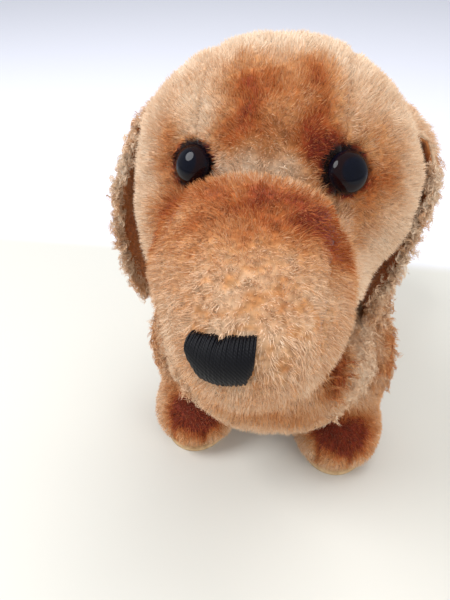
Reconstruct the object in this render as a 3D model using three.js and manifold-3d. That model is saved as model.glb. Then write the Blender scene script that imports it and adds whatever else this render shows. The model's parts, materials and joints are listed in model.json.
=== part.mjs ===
// A standing plush spaniel with a turning head: its sewn covers, fillings, eyes, nose, ears and neck joint.
// Millimetres, +Z up. The dog faces -Y and its left side is +X.
// The origin is on the floor under the middle of the dog.
import * as THREE from "three";
import { mergeVertices } from "three/addons/utils/BufferGeometryUtils.js";
import Module from "manifold-3d";

const wasm = await Module();
wasm.setup();

// ------------------------ driving dimensions
const GAP = 0.35; // clearance between neighbouring pieces
const COVER = 2.0; // thickness of the plush cloth, backing and the foot of its pile
const FELT = 1.4; // thickness of a foot pad
const HEAD_AT = new THREE.Vector3(0, -24.5, 92); // middle of the skull
const TORSO_AT = new THREE.Vector3(0, 16, 46); // middle of the trunk
const NECK_Y = -20; // the neck joint's upright axis
const NECK_Z = 68; // where head and trunk meet
const NECK_HOLE = 1.9; // radius of the hole through the covers for the cotter pin
const DISC_RADIUS = 9.5;
const DISC_THICK = 1.6;
const WASHER_RADIUS = 4.2;
const WASHER_THICK = 0.8;
const PIN_RADIUS = 1.15;
const DISC_HOLE = 1.28; // radius of the hole in discs and washers
const EYE_RADIUS = 4.6;
const EYE_AT = new THREE.Vector3(13.8, -21.4, 14); // from the middle of the skull, left eye
const EAR_HINGE = new THREE.Vector3(26.2, 6.5, 15); // from the middle of the skull, left ear
const PAW_X = 21.5; // front paws from the middle
const HIND_X = 19.5;

// Ellipsoids as [middle, radii], from the middle of the skull or of the trunk.
// A form is their smooth union.
const HEAD_FORM = [
  [[0, 2, 2.5], [30.5, 29, 28]], // skull
  [[0, 4, -12], [19, 18, 17]], // throat
  [[0, -29, 0.5], [19.5, 18, 13.5]], // bridge of the muzzle
  [[0, -36, -5.5], [16.8, 23, 15]], // muzzle
  [[10, -15, -7], [16, 18, 14.5]], // left cheek
  [[-10, -15, -7], [16, 18, 14.5]], // right cheek
];
const TORSO_FORM = [
  [[0, -40, -1], [27.5, 22.5, 23.5]], // chest
  [[0, -36, 13], [18, 17.5, 15]], // neck
  [[0, 0, -7], [24.5, 48, 17]], // barrel
  [[0, 30, -5], [26.5, 26, 20.5]], // rump
];
// Legs, from the middle of the paw at floor height.
const FRONT_LEG_FORM = [
  [[0, -1, 8.4], [14.3, 17, 11]], // paw
  [[0.3, 5, 25], [12.6, 12.5, 23.5]], // foreleg
];
const HIND_LEG_FORM = [
  [[0, -1, 8.4], [13.8, 17, 11]], // paw
  [[0.5, 3, 26], [12, 13.5, 24]], // hock
  [[1, 2, 33], [12, 18.5, 17]], // thigh
];
const FRONT_LEG_AT = new THREE.Vector3(PAW_X, -15.5, 0);
const HIND_LEG_AT = new THREE.Vector3(HIND_X, 50, 0);
// The points that the forms are measured from, inside every ellipsoid or close to it.
const HEAD_HEART = new THREE.Vector3(0, -11, -1);
const TORSO_HEART = new THREE.Vector3(0, -20, -3);
const LEG_HEART = new THREE.Vector3(0, 0, 16);
const TAIL_AT = new THREE.Vector3(0, 72, 55);
const TAIL_RADII = [6.5, 13, 7];
const TAIL_LIFT = 0.5; // radians above level

// ------------------------ solids
function solid(geometry) {
  const bare = geometry.clone();
  for (const name of ["normal", "uv"]) bare.deleteAttribute(name);
  const merged = mergeVertices(bare, 1e-4);
  const index = merged.index.array;
  return new wasm.Manifold(
    new wasm.Mesh({
      numProp: 3,
      vertProperties: new Float32Array(merged.attributes.position.array),
      triVerts: new Uint32Array(index),
    }),
  );
}

function geometryOf(body) {
  const mesh = body.getMesh();
  const geometry = new THREE.BufferGeometry();
  const points = new THREE.BufferAttribute(new Float32Array(mesh.vertProperties), 3);
  geometry.setAttribute("position", points);
  geometry.setIndex(new THREE.BufferAttribute(new Uint32Array(mesh.triVerts), 1));
  geometry.computeVertexNormals();
  return geometry;
}

// Distance from the origin to where a ray leaves an ellipsoid, or 0 if it misses.
function exitDistance(ray, [middle, radii], inset) {
  const size = new THREE.Vector3(...radii).subScalar(inset);
  const c = middle.clone().divide(size);
  const d = ray.clone().divide(size);
  const a = d.dot(d);
  const b = d.dot(c);
  const room = b * b - a * (c.dot(c) - 1);
  return room > 0 ? Math.max(0, (b + Math.sqrt(room)) / a) : 0;
}

const BLEND = 9; // the higher, the sharper the creases between ellipsoids
function blended(form, heart, inset, detail, at) {
  const parts = form.map(([middle, radii]) => [new THREE.Vector3(...middle).sub(heart), radii]);
  const geometry = new THREE.IcosahedronGeometry(1, detail);
  const place = geometry.getAttribute("position");
  const ray = new THREE.Vector3();
  for (let i = 0; i < place.count; i++) {
    ray.fromBufferAttribute(place, i).normalize();
    const sum = parts.reduce((s, part) => s + exitDistance(ray, part, inset) ** BLEND, 0);
    ray.multiplyScalar(sum ** (1 / BLEND)).add(heart).add(at);
    place.setXYZ(i, ray.x, ray.y, ray.z);
  }
  return solid(geometry);
}

function boxBody(low, high) {
  const size = high.map((h, i) => h - low[i]);
  const geometry = new THREE.BoxGeometry(...size);
  geometry.translate(...low.map((l, i) => l + size[i] / 2));
  return solid(geometry);
}

// An upright round bar from z low to z high.
function bar(radius, low, high, x = 0, y = NECK_Y, sides = 20) {
  const geometry = new THREE.CylinderGeometry(radius, radius, high - low, sides);
  geometry.rotateX(Math.PI / 2);
  geometry.translate(x, y, (low + high) / 2);
  return solid(geometry);
}

// An outline of [a, b] points swept along one axis: "x" takes (y, z), "y" takes (x, z), "z" takes (x, y).
function prism(points, axis, low, high, smooth = true) {
  const corners = points.map(([a, b]) => new THREE.Vector2(a, b));
  const shape = smooth
    ? new THREE.Shape(new THREE.SplineCurve([...corners, corners[0]]).getPoints(points.length * 3))
    : new THREE.Shape(corners);
  const geometry = new THREE.ExtrudeGeometry(shape, { depth: high - low, bevelEnabled: false });
  geometry.translate(0, 0, low);
  const turn = new THREE.Matrix4();
  if (axis === "x") turn.set(0, 0, 1, 0, 1, 0, 0, 0, 0, 1, 0, 0, 0, 0, 0, 1);
  if (axis === "y") turn.set(1, 0, 0, 0, 0, 0, -1, 0, 0, 1, 0, 0, 0, 0, 0, 1);
  geometry.applyMatrix4(turn);
  return solid(geometry);
}

function mirrored(body) {
  return body.mirror([1, 0, 0]);
}

// ------------------------ nodes
const MATERIALS = {
  mohair: { color: 0xd9a878, roughness: 0.95, metalness: 0 },
  long_mohair: { color: 0xcf9c6c, roughness: 0.95, metalness: 0 },
  lining: { color: 0xc08a63, roughness: 0.95, metalness: 0 },
  felt: { color: 0xd6b48c, roughness: 1, metalness: 0 },
  filling: { color: 0xe2cf9f, roughness: 1, metalness: 0 },
  thread: { color: 0x14141a, roughness: 0.6, metalness: 0 },
  glass: { color: 0x5a2408, roughness: 0.05, metalness: 0 },
  pupil: { color: 0x050506, roughness: 0.1, metalness: 0 },
  fibreboard: { color: 0x8a6a48, roughness: 0.9, metalness: 0 },
  steel: { color: 0x9c9c9c, roughness: 0.35, metalness: 1 },
};
const dog = new THREE.Group();

function add(name, body, material) {
  const mesh = new THREE.Mesh(geometryOf(body), new THREE.MeshStandardMaterial(MATERIALS[material]));
  mesh.name = name;
  dog.add(mesh);
}

function addPair(stem, end, leftBody, material) {
  add(`${stem}_left${end}`, leftBody, material);
  add(`${stem}_right${end}`, mirrored(leftBody), material);
}

// ------------------------ forms shared by several pieces
const FINE = 5;
const COARSE = 3;
const neckCut = (low, high) => boxBody([-60, -90, low], [60, 60, high]);
const headForm = (inset, detail) => blended(HEAD_FORM, HEAD_HEART, inset, detail, HEAD_AT);
const torsoForm = (inset, detail) => blended(TORSO_FORM, TORSO_HEART, inset, detail, TORSO_AT);

const headOuter = headForm(0, FINE).subtract(neckCut(0, NECK_Z + GAP / 2));
const headCore = headForm(COVER, COARSE).subtract(neckCut(0, NECK_Z + GAP / 2 + COVER));
const torsoOuter = torsoForm(0, FINE).subtract(neckCut(NECK_Z - GAP / 2, 200));
const torsoCore = torsoForm(COVER, COARSE).subtract(neckCut(NECK_Z - GAP / 2 - COVER, 200));
const torsoRoom = torsoForm(-GAP, FINE);

// ------------------------ eyes: a glass dome over a black pupil, on a wire shank
const eyeTilt = new THREE.Quaternion().setFromUnitVectors(
  new THREE.Vector3(0, 0, 1),
  EYE_AT.clone().normalize(),
);
const eyePlace = new THREE.Matrix4().compose(
  HEAD_AT.clone().add(EYE_AT),
  eyeTilt,
  new THREE.Vector3(1, 1, 1),
);
const PUPIL_RADIUS = 2.7;
const IRIS_Z = 0.6; // the flat back of the glass, above the middle of the eye

function turned(points, segments) {
  const profile = points.map(([r, z]) => new THREE.Vector2(r, z));
  const geometry = new THREE.LatheGeometry(profile, segments);
  geometry.rotateX(Math.PI / 2);
  return geometry;
}

function eyeBody(geometry) {
  geometry.applyMatrix4(eyePlace);
  return solid(geometry);
}

// Half of a flattened ball, from its flat back up to its crown, as a lathe profile.
function dome(radius, height, back, steps) {
  const arc = Array.from({ length: steps + 1 }, (_, i) => {
    const t = (i / steps) * (Math.PI / 2);
    return [i === steps ? 0 : radius * Math.cos(t), back + height * Math.sin(t)];
  });
  return [[0, back], ...arc];
}

const DOME_HEIGHT = 3.1;
const DISC_DEEP = 0.7; // the painted disc behind the glass
const eyeGlass = eyeBody(turned(dome(EYE_RADIUS, DOME_HEIGHT, IRIS_Z, 7), 26));
const pupilDisc = [
  [0, IRIS_Z - GAP - DISC_DEEP],
  [PUPIL_RADIUS, IRIS_Z - GAP - DISC_DEEP],
  [PUPIL_RADIUS, IRIS_Z - GAP],
  [0, IRIS_Z - GAP],
];
const eyePupil = eyeBody(turned(pupilDisc, 20));
const SHANK_WIRE = 0.55;
const SHANK_LOOP = 1.7;
const shankTop = IRIS_Z - 2 * GAP - DISC_DEEP;
const shankStem = new THREE.CylinderGeometry(SHANK_WIRE, SHANK_WIRE, 3, 8);
shankStem.rotateX(Math.PI / 2);
shankStem.translate(0, 0, shankTop - 1.5);
const shankLoop = new THREE.TorusGeometry(SHANK_LOOP, SHANK_WIRE, 8, 16);
shankLoop.rotateY(Math.PI / 2);
shankLoop.translate(0, 0, shankTop - 3 - SHANK_LOOP + 0.4);
const eyeShank = eyeBody(shankStem).add(eyeBody(shankLoop));
// The socket in the cover, and the narrower pocket for the shank in cover and filling.
const socketProfile = [
  [0, -0.9],
  [EYE_RADIUS + GAP, -0.9],
  [EYE_RADIUS + GAP, 9],
  [0, 9],
];
const pocketProfile = [
  [0, shankTop - 3 - 2 * SHANK_LOOP - 1.2],
  [SHANK_LOOP + SHANK_WIRE + GAP, shankTop - 3 - 2 * SHANK_LOOP - 1.2],
  [SHANK_LOOP + SHANK_WIRE + GAP, 0],
  [0, 0],
];
const eyeSocket = eyeBody(turned(socketProfile, 26)).add(eyeBody(turned(pocketProfile, 16)));
addPair("eye", "_glass", eyeGlass, "glass");
addPair("eye", "_pupil", eyePupil, "pupil");
addPair("eye", "_shank", eyeShank, "steel");

// ------------------------ nose: one block of satin stitch on the end of the muzzle
const NOSE_DEEP = 1.6;
const noseOutline = [
  [0, 1.6],
  [2.5, 2.8],
  [4.9, 2.4],
  [5.1, -0.2],
  [3.2, -3.6],
  [0, -4.1],
  [-3.2, -3.6],
  [-5.1, -0.2],
  [-4.9, 2.4],
  [-2.5, 2.8],
];
const NOSE_X = -1; // it was stitched a little to the dog's right
const NOSE_Z = 91.5; // height of its middle
const nosePrism = (grow, low, high) =>
  prism(
    noseOutline.map(([x, z]) => [x * grow + NOSE_X, z * grow + NOSE_Z]),
    "y",
    low,
    high,
  );
const noseZone = nosePrism(1, 50, 100);
const noseSeat = nosePrism(1 + GAP / 5, 50, 100);
const nose = headForm(-0.7, FINE).intersect(noseZone).subtract(headForm(NOSE_DEEP - 0.7, COARSE + 2));
const noseRoom = noseSeat.subtract(headForm(NOSE_DEEP - 0.7 + GAP, COARSE + 2));
add("nose_stitching", nose, "thread");

// ------------------------ head cover: five sewn panels over one filling
const shell = (outer, core) => outer.subtract(core);
const pinHole = bar(NECK_HOLE, NECK_Z - 12, NECK_Z + 12);
const bothSides = (body) => body.add(mirrored(body));
const headCover = shell(headOuter, headCore)
  .subtract(pinHole)
  .subtract(bothSides(eyeSocket))
  .subtract(noseRoom);

const slab = (half) => boxBody([-half, -120, 0], [half, 120, 200]);
const GUSSET_HALF = 12.5; // crown gusset, between the eyes and down the nape
const MUZZLE_HALF = 13;
const CHIN_HALF = 9;
const STOP_Y = HEAD_AT.y - 26.3; // the seam across between the eyes
const JAW_Z = HEAD_AT.z - 9; // the lip seam along the muzzle
const before = (y) => boxBody([-60, -140, 0], [60, y, 200]);
const behind = (y) => boxBody([-60, y, 0], [60, 120, 200]);
const below = (z) => boxBody([-60, -140, 0], [60, 120, z]);
const above = (z) => boxBody([-60, -140, z], [60, 120, 200]);
const crownZone = behind(STOP_Y + GAP / 2).intersect(above(HEAD_AT.z));
const gussetZone = (g) => slab(GUSSET_HALF + g).intersect(crownZone);
const muzzleZone = (g) =>
  slab(MUZZLE_HALF + g).intersect(before(STOP_Y - GAP / 2 + g)).intersect(above(JAW_Z - g));
const chinZone = (g) => slab(CHIN_HALF + g).intersect(below(JAW_Z - GAP)).intersect(before(NECK_Y - 14));
add("head_crown_gusset", headCover.intersect(gussetZone(0)), "mohair");
add("muzzle_panel", headCover.intersect(muzzleZone(0)), "mohair");
add("chin_panel", headCover.intersect(chinZone(0)), "mohair");
const headSide = headCover
  .subtract(gussetZone(GAP))
  .subtract(muzzleZone(GAP))
  .subtract(chinZone(GAP))
  .intersect(boxBody([GAP / 2, -120, 0], [60, 120, 200]));
addPair("head_side", "_panel", headSide, "mohair");

const neckPocketTop = NECK_Z + GAP / 2 + COVER + GAP + DISC_THICK + GAP + WASHER_THICK + GAP;
const headFilling = headForm(COVER + GAP, COARSE)
  .subtract(neckCut(0, NECK_Z + GAP / 2 + COVER + GAP))
  .subtract(bar(DISC_RADIUS + GAP, 20, NECK_Z + GAP / 2 + COVER + GAP + DISC_THICK + GAP))
  .subtract(bar(WASHER_RADIUS + GAP, 20, neckPocketTop))
  .subtract(bar(3.4, 20, neckPocketTop + 4.6))
  .subtract(bothSides(eyeSocket));
add("head_filling", headFilling, "filling");

// ------------------------ trunk cover: side panels, chest panel and belly gusset
const legRoom = (form, at, inset, detail) => blended(form, LEG_HEART, inset, detail, at);
const torsoCover = shell(torsoOuter, torsoCore).subtract(pinHole);
const chestOutline = [
  [0, 21],
  [11, 27],
  [16.5, 40],
  [15, 54],
  [0, 60],
  [-15, 54],
  [-16.5, 40],
  [-11, 27],
];
const chestZone = (g) =>
  prism(
    chestOutline.map(([x, z]) => [x + Math.sign(x) * g, z + Math.sign(z - 40) * g]),
    "y",
    28 - g,
    90,
  );
const bellyOutline = [
  [0, -25],
  [9, -18],
  [11.5, 5],
  [11.5, 40],
  [7, 58],
  [0, 62],
  [-7, 58],
  [-11.5, 40],
  [-11.5, 5],
  [-9, -18],
];
const bellyZone = (g) =>
  prism(
    bellyOutline.map(([x, y]) => [x + Math.sign(x) * g, y + Math.sign(y - 18) * g]),
    "z",
    0,
    36 + g,
  );
add("chest_panel", torsoCover.intersect(chestZone(0)), "mohair");
add("belly_gusset", torsoCover.subtract(chestZone(GAP)).intersect(bellyZone(0)), "mohair");
const bodySide = torsoCover
  .subtract(chestZone(GAP))
  .subtract(bellyZone(GAP))
  .intersect(boxBody([GAP / 2, -120, 0], [60, 120, 200]));
addPair("body_side", "_panel", bodySide, "long_mohair");

const bodyDiscTop = NECK_Z - GAP / 2 - COVER - GAP;
const bodyDiscLow = bodyDiscTop - DISC_THICK;
const bodyWasherTop = bodyDiscLow - GAP;
const bodyWasherLow = bodyWasherTop - WASHER_THICK;
const torsoFilling = torsoForm(COVER + GAP, COARSE)
  .subtract(neckCut(bodyDiscTop, 200))
  .subtract(bar(DISC_RADIUS + GAP, bodyDiscLow - GAP, 200))
  .subtract(bar(WASHER_RADIUS + GAP, bodyWasherLow - GAP, 200))
  .subtract(bar(3.6, bodyWasherLow - 6.5, 200));
add("torso_filling", torsoFilling, "filling");

// ------------------------ neck joint: fibre discs, washers and a split cotter pin
const ring = (radius, hole, low, high) => bar(radius, low, high).subtract(bar(hole, low - 1, high + 1));
const headDiscLow = NECK_Z + GAP / 2 + COVER + GAP;
add("neck_disc_head", ring(DISC_RADIUS, DISC_HOLE, headDiscLow, headDiscLow + DISC_THICK), "fibreboard");
const headWasherLow = headDiscLow + DISC_THICK + GAP;
const headWasherTop = headWasherLow + WASHER_THICK;
add("neck_washer_head", ring(WASHER_RADIUS, DISC_HOLE, headWasherLow, headWasherTop), "steel");
add("neck_disc_body", ring(DISC_RADIUS, DISC_HOLE, bodyDiscLow, bodyDiscTop), "fibreboard");
add("neck_washer_body", ring(WASHER_RADIUS, DISC_HOLE, bodyWasherLow, bodyWasherTop), "steel");
const pinTop = headWasherTop + GAP;
const pinEye = new THREE.TorusGeometry(1.7, 0.7, 6, 12);
pinEye.rotateY(Math.PI / 2);
pinEye.translate(0, NECK_Y, pinTop + 1.7 + 0.7 - 0.2);
const pinLeg = (side) => {
  const curl = new THREE.TorusGeometry(1.5, 0.62, 6, 10);
  curl.translate(side * 1.1, NECK_Y, bodyWasherLow - GAP - 2.4);
  return solid(curl);
};
const pinShaft = bar(PIN_RADIUS, bodyWasherLow - GAP - 2.2, pinTop + 0.8, 0, NECK_Y, 14);
add("neck_cotter_pin", pinShaft.add(solid(pinEye)).add(pinLeg(1)).add(pinLeg(-1)), "steel");

// ------------------------ legs: sewn tubes with a filling and a felt pad under the paw
function leg(stem, form, at) {
  const outer = legRoom(form, at, 0, COARSE + 1).subtract(torsoRoom).intersect(above(FELT + GAP));
  const core = legRoom(form, at, COVER, COARSE - 1);
  const cover = outer.subtract(core).intersect(above(FELT + GAP));
  const filling = legRoom(form, at, COVER + GAP, COARSE - 1)
    .subtract(torsoRoom)
    .intersect(above(FELT + GAP));
  const print = new THREE.Shape();
  print.absellipse(at.x, at.y - 1, 10.2, 13.4, 0, Math.PI * 2);
  const pad = new THREE.ExtrudeGeometry(print, { depth: FELT, bevelEnabled: false, curveSegments: 14 });
  addPair(stem, "_cover", cover, "mohair");
  addPair(stem, "_filling", filling, "filling");
  addPair(stem, "_pad", solid(pad), "felt");
}
leg("front_leg", FRONT_LEG_FORM, FRONT_LEG_AT);
leg("hind_leg", HIND_LEG_FORM, HIND_LEG_AT);

// ------------------------ tail: a short stuffed stub
function tailForm(inset, detail) {
  const geometry = new THREE.IcosahedronGeometry(1, detail);
  geometry.scale(...TAIL_RADII.map((r) => r - inset));
  geometry.rotateX(TAIL_LIFT);
  geometry.translate(...TAIL_AT);
  return solid(geometry);
}
add("tail_cover", tailForm(0, 3).subtract(tailForm(COVER, 2)).subtract(torsoRoom), "long_mohair");
add("tail_filling", tailForm(COVER + GAP, 2).subtract(torsoRoom), "filling");

// ------------------------ ears: a long-pile outer flap and a thin lining, hanging from the hinge seam
const EAR_OUTER = 2.1;
const EAR_LINING = 1.1;
// Each flap seen from the front, as its inner face going down from the hinge. The left ear hangs close to the
// cheek, and the right ear has taken a set that stands it off.
const EAR_DROPS = {
  left: [0, 2.3, 3.6, 4.0, 3.5, 2.9, 2.6],
  right: [0, 3.1, 4.9, 5.8, 5.9, 5.2, 4.4],
};
const EAR_STEPS = [0, -5, -11, -18, -28, -38, -52];
const earOutline = [
  [-6, 1.5],
  [1, 4],
  [8, 0],
  [13, -14],
  [14.5, -30],
  [11.5, -43],
  [3, -48.2],
  [-8, -44.5],
  [-13, -32],
  [-11.5, -14],
];
function earBand(drop, from, to) {
  const line = new THREE.SplineCurve(EAR_STEPS.map((z, i) => new THREE.Vector2(drop[i], z)));
  const count = 12;
  const side = (offset) =>
    Array.from({ length: count + 1 }, (_, i) => {
      const p = line.getPoint(i / count);
      const t = line.getTangent(i / count);
      return [p.x - t.y * offset + earAt.x, p.y + t.x * offset + earAt.z];
    });
  return prism([...side(from), ...side(to).reverse()], "y", -60, 60, false);
}
const earAt = HEAD_AT.clone().add(EAR_HINGE);
const earCut = prism(
  earOutline.map(([y, z]) => [y + earAt.y, z + earAt.z]),
  "x",
  0,
  80,
);
// Both layers lie against the temple, so they are trimmed to it.
const outerFrom = EAR_LINING + GAP;
const earRoom = headForm(-GAP, FINE);
const outerRoom = headForm(-GAP - outerFrom, FINE);
for (const [side, drop] of Object.entries(EAR_DROPS)) {
  const turn = side === "left" ? (body) => body : mirrored;
  const flap = (from, to, room) => turn(earBand(drop, from, to).intersect(earCut).subtract(room));
  add(`ear_${side}_lining`, flap(0, EAR_LINING, earRoom), "lining");
  add(`ear_${side}_outer`, flap(outerFrom, outerFrom + EAR_OUTER, outerRoom), "long_mohair");
}

export default dog;
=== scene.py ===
"""A small mohair spaniel: sewn panels, a pile of real strands, curly ears, glass eyes and a stitched nose."""

import json
import math

import bmesh
import bpy
import numpy as np
from mathutils import Matrix, Vector


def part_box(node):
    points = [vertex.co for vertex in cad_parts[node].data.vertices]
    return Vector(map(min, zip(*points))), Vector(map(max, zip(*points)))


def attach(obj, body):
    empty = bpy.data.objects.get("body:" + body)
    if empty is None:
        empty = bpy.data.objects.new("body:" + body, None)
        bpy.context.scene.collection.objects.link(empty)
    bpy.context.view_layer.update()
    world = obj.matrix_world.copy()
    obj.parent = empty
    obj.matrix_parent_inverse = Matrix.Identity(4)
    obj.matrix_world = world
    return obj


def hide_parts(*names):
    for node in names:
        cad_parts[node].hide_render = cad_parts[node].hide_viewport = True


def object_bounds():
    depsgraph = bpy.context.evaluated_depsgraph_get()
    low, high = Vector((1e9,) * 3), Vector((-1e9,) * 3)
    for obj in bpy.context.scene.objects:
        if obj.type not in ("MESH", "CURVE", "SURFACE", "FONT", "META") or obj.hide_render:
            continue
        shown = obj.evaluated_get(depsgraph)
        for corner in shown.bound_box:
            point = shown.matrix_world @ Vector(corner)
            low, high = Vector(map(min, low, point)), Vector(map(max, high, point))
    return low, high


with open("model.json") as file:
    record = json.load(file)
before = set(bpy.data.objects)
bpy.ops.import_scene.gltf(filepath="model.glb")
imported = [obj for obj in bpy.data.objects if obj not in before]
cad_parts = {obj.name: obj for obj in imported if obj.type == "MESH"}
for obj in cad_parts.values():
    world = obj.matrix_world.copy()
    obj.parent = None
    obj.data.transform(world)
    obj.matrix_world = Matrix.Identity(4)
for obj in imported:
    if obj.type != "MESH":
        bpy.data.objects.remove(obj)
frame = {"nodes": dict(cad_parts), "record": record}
cad_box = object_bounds()

MM = 0.001
DENSITY = 1.0
SIDES = (("left", 1), ("right", -1))  # and the sign of X there


# ---------------- places, all from the frame, in millimetres
def box_mm(node):
    low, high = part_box(node)
    return np.array(low) * 1000, np.array(high) * 1000


def ear_at(side):
    """Where the top of an ear is sewn on."""
    low, high = box_mm(f"ear_{side}_lining")
    x = low[0] if side == "left" else high[0]
    return np.array([x, (low[1] + high[1]) / 2 - 0.7, high[2] - 0.9])


crown_low, crown_high = box_mm("head_crown_gusset")
muzzle_low, muzzle_high = box_mm("muzzle_panel")
nose_low, nose_high = box_mm("nose_stitching")
chest_low, chest_high = box_mm("chest_panel")
belly_low, belly_high = box_mm("belly_gusset")
tail_low, tail_high = box_mm("tail_cover")
SKULL_BACK, SKULL_TOP = 30.9, 30.5  # from the middle of the skull to the crown panel's back and top
HEAD = np.array([0.0, crown_high[1] - SKULL_BACK, crown_high[2] - SKULL_TOP])
CHEST_FRONT, CHEST_FOOT = 62.6, 23.5  # from the middle of the trunk to the chest panel's front and foot
TORSO = np.array([0.0, chest_low[1] + CHEST_FRONT, chest_low[2] + CHEST_FOOT])
TAIL_BACK = 11.7  # from the middle of the tail to its cover's back
TAIL = np.array([0, tail_high[1] - TAIL_BACK, (tail_low[2] + tail_high[2]) / 2])
NOSE = (nose_low + nose_high) / 2
NECK_Z = box_mm("head_side_left_panel")[0][2]
SHOULDER_Z = box_mm("body_side_left_panel")[1][2]
EYE_SET = {"left": (0.3, 0.0, -0.2), "right": (0.7, 0.0, -1.2)}  # the eyes are sewn on a little unevenly
EYES = {side: sum(box_mm(f"eye_{side}_pupil")) / 2 + np.array(EYE_SET[side]) for side, _ in SIDES}
HINGES = {joint["name"]: np.array(joint["pos_m"]) * 1000 for joint in frame["record"]["behaviour"]["joints"]}
# Seams of the head and the belly.
GUSSET_HALF = crown_high[0]
MUZZLE_HALF = muzzle_high[0]
CHIN_HALF = box_mm("chin_panel")[1][0]
STOP_Y = crown_low[1]
JAW_Z = muzzle_low[2]
CHIN_BACK = HEAD[1] - 9.5
BELLY_TOP = 36

# Each form is a smooth union of ellipsoids, (middle, radii), with middles from the form's own place.
HEAD_FORM = [
    ((-0.3, -4.6, 3.7), (29.3, 22, 28.2)),  # forehead
    ((0, 3.5, 2.0), (28.2, 27.3, 26.8)),  # back of the skull
    ((0, 4, -12), (19, 18, 17)),  # throat
    ((-0.9, -31.2, -0.6), (17.5, 20.6, 14.9)),  # bridge of the muzzle
    ((1.8, -37.1, -4.4), (15.9, 21.4, 15.2)),  # end of the muzzle
    ((8, -15.1, -7.2), (13.3, 18.8, 14.8)),  # left cheek
    ((-11.3, -11.5, -3.8), (16, 17, 17.5)),  # right cheek
]
# A tuck in the side of the head runs along each ear's hinge, and the ear is sewn into it.
EAR_TUCKS = [(tuple(HINGES[f"{side}_ear_flap"] - HEAD + np.array([-2.4 * sign, 0.3, -3.9])), (4.3, 7.4, 2.3))
             for side, sign in SIDES]
TORSO_FORM = [
    ((0, -40, -1), (27.3, 22.3, 23.3)),  # chest
    ((0, -36, 13), (18, 17.5, 15)),  # shoulders
    ((0, 0, -7), (24.3, 48, 17)),  # belly
    ((0, 30, -5), (26.3, 26, 20.3)),  # rump
]
FRONT_LEG_FORM = [
    ((0, -0.4, 8.2), (13.9, 16.2, 10.8)),  # paw
    ((0.8, 4.6, 29), (12.6, 12.5, 23.5)),  # leg
]
HIND_LEG_FORM = [
    ((0, -1, 8.4), (13.8, 17, 11)),  # paw
    ((0.5, 3, 26), (12, 13.5, 24)),  # leg
    ((1, 2, 33), (12, 18.5, 17)),  # thigh
]
TAIL_RADII = np.array([6.4, 12.8, 6.9])
HEAD_SOFT, TORSO_SOFT, LEG_SOFT = 4.0, 7.0, 5.0  # how softly a form's ellipsoids run together
HEAD_PILE, TORSO_PILE, LEG_PILE, TAIL_PILE = 1.9, 2.4, 2.0, 2.4
COVERED = 0.5  # the cloth lies this part of the pile's length inside the form
CLOTH_THICK = 1.3


# ---------------- fields
def ellipsoid(points, middle, radii):
    q = (points - middle) / radii
    k0 = np.linalg.norm(q, axis=1)
    k1 = np.linalg.norm(q / radii, axis=1)
    return k0 * (k0 - 1) / np.maximum(k1, 1e-9)


def union(points, form, at, soft):
    """Distance to the smooth union of a form's ellipsoids, roughly in millimetres."""
    total = None
    for middle, radii in form:
        d = ellipsoid(points, np.array(middle, float) + at, np.array(radii, float))
        if total is None:
            total = d
            continue
        h = np.clip(0.5 + 0.5 * (d - total) / soft, 0, 1)
        total = d * (1 - h) + total * h - soft * h * (1 - h)
    return total


def hash_noise(cells, seed):
    """A repeatable number from 0 to 1 for each lattice cell."""
    h = (cells[:, 0] * 73856093) ^ (cells[:, 1] * 19349663) ^ (cells[:, 2] * 83492791) ^ (seed * 2654435761)
    h = (h ^ (h >> 13)) * 1274126177
    h = h ^ (h >> 16)
    return (h & 0xFFFF) / 65535.0


def noise(points, size, seed=0):
    """Smooth value noise from -1 to 1, with cells of the given size in millimetres."""
    p = points / size + 1000.0
    base = np.floor(p).astype(np.int64)
    f = p - base
    f = f * f * (3 - 2 * f)
    near = (1 - f, f)
    total = np.zeros(len(points))
    for dx, dy, dz in np.ndindex(2, 2, 2):
        weight = near[dx][:, 0] * near[dy][:, 1] * near[dz][:, 2]
        total += weight * hash_noise(base + np.array([dx, dy, dz]), seed)
    return total * 2 - 1


def noise3(points, size, seed=0):
    return np.stack([noise(points, size, seed + i * 17) for i in range(3)], 1)


def bump(value):
    return np.exp(-value * value)


def ramp(value, low, high):
    t = np.clip((value - low) / (high - low), 0, 1)
    return t * t * (3 - 2 * t)


def along(points, path, radius):
    """1 on a path of points, falling off smoothly over the radius."""
    best = np.full(len(points), 1e9)
    path = [np.array(p, float) for p in path]
    for a, b in zip(path, path[1:] or path):
        t = np.clip(((points - a) @ (b - a)) / max((b - a) @ (b - a), 1e-9), 0, 1)
        best = np.minimum(best, np.linalg.norm(points - a - t[:, None] * (b - a), axis=1))
    return bump(best / radius)


def unit(vectors):
    return vectors / np.maximum(np.linalg.norm(vectors, axis=1), 1e-9)[:, None]


def head_seams(p):
    """Distance from each point to the nearest seam of the head, in millimetres."""
    x, y, z = np.abs(p[:, 0]), p[:, 1], p[:, 2]
    far = np.full(len(p), 50.0)
    behind = y > STOP_Y
    gusset = np.where(behind & (z > HEAD[2]), np.abs(x - GUSSET_HALF), far)
    stop = np.where(x < GUSSET_HALF, np.abs(y - STOP_Y), far)
    muzzle = np.where(~behind & (z > JAW_Z), np.abs(x - MUZZLE_HALF), far)
    jaw = np.where(~behind & (x < MUZZLE_HALF), np.abs(z - JAW_Z), far)
    chin = np.where(z < JAW_Z, np.abs(x - CHIN_HALF), far)
    return np.minimum.reduce([gusset, stop, muzzle, jaw, chin])


def eye_distance(p):
    return np.minimum(*[np.linalg.norm(p - at, axis=1) for at in EYES.values()])


DIP, SWELLING = 24.6, 31.5  # how far in front of the middle of the skull


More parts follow.
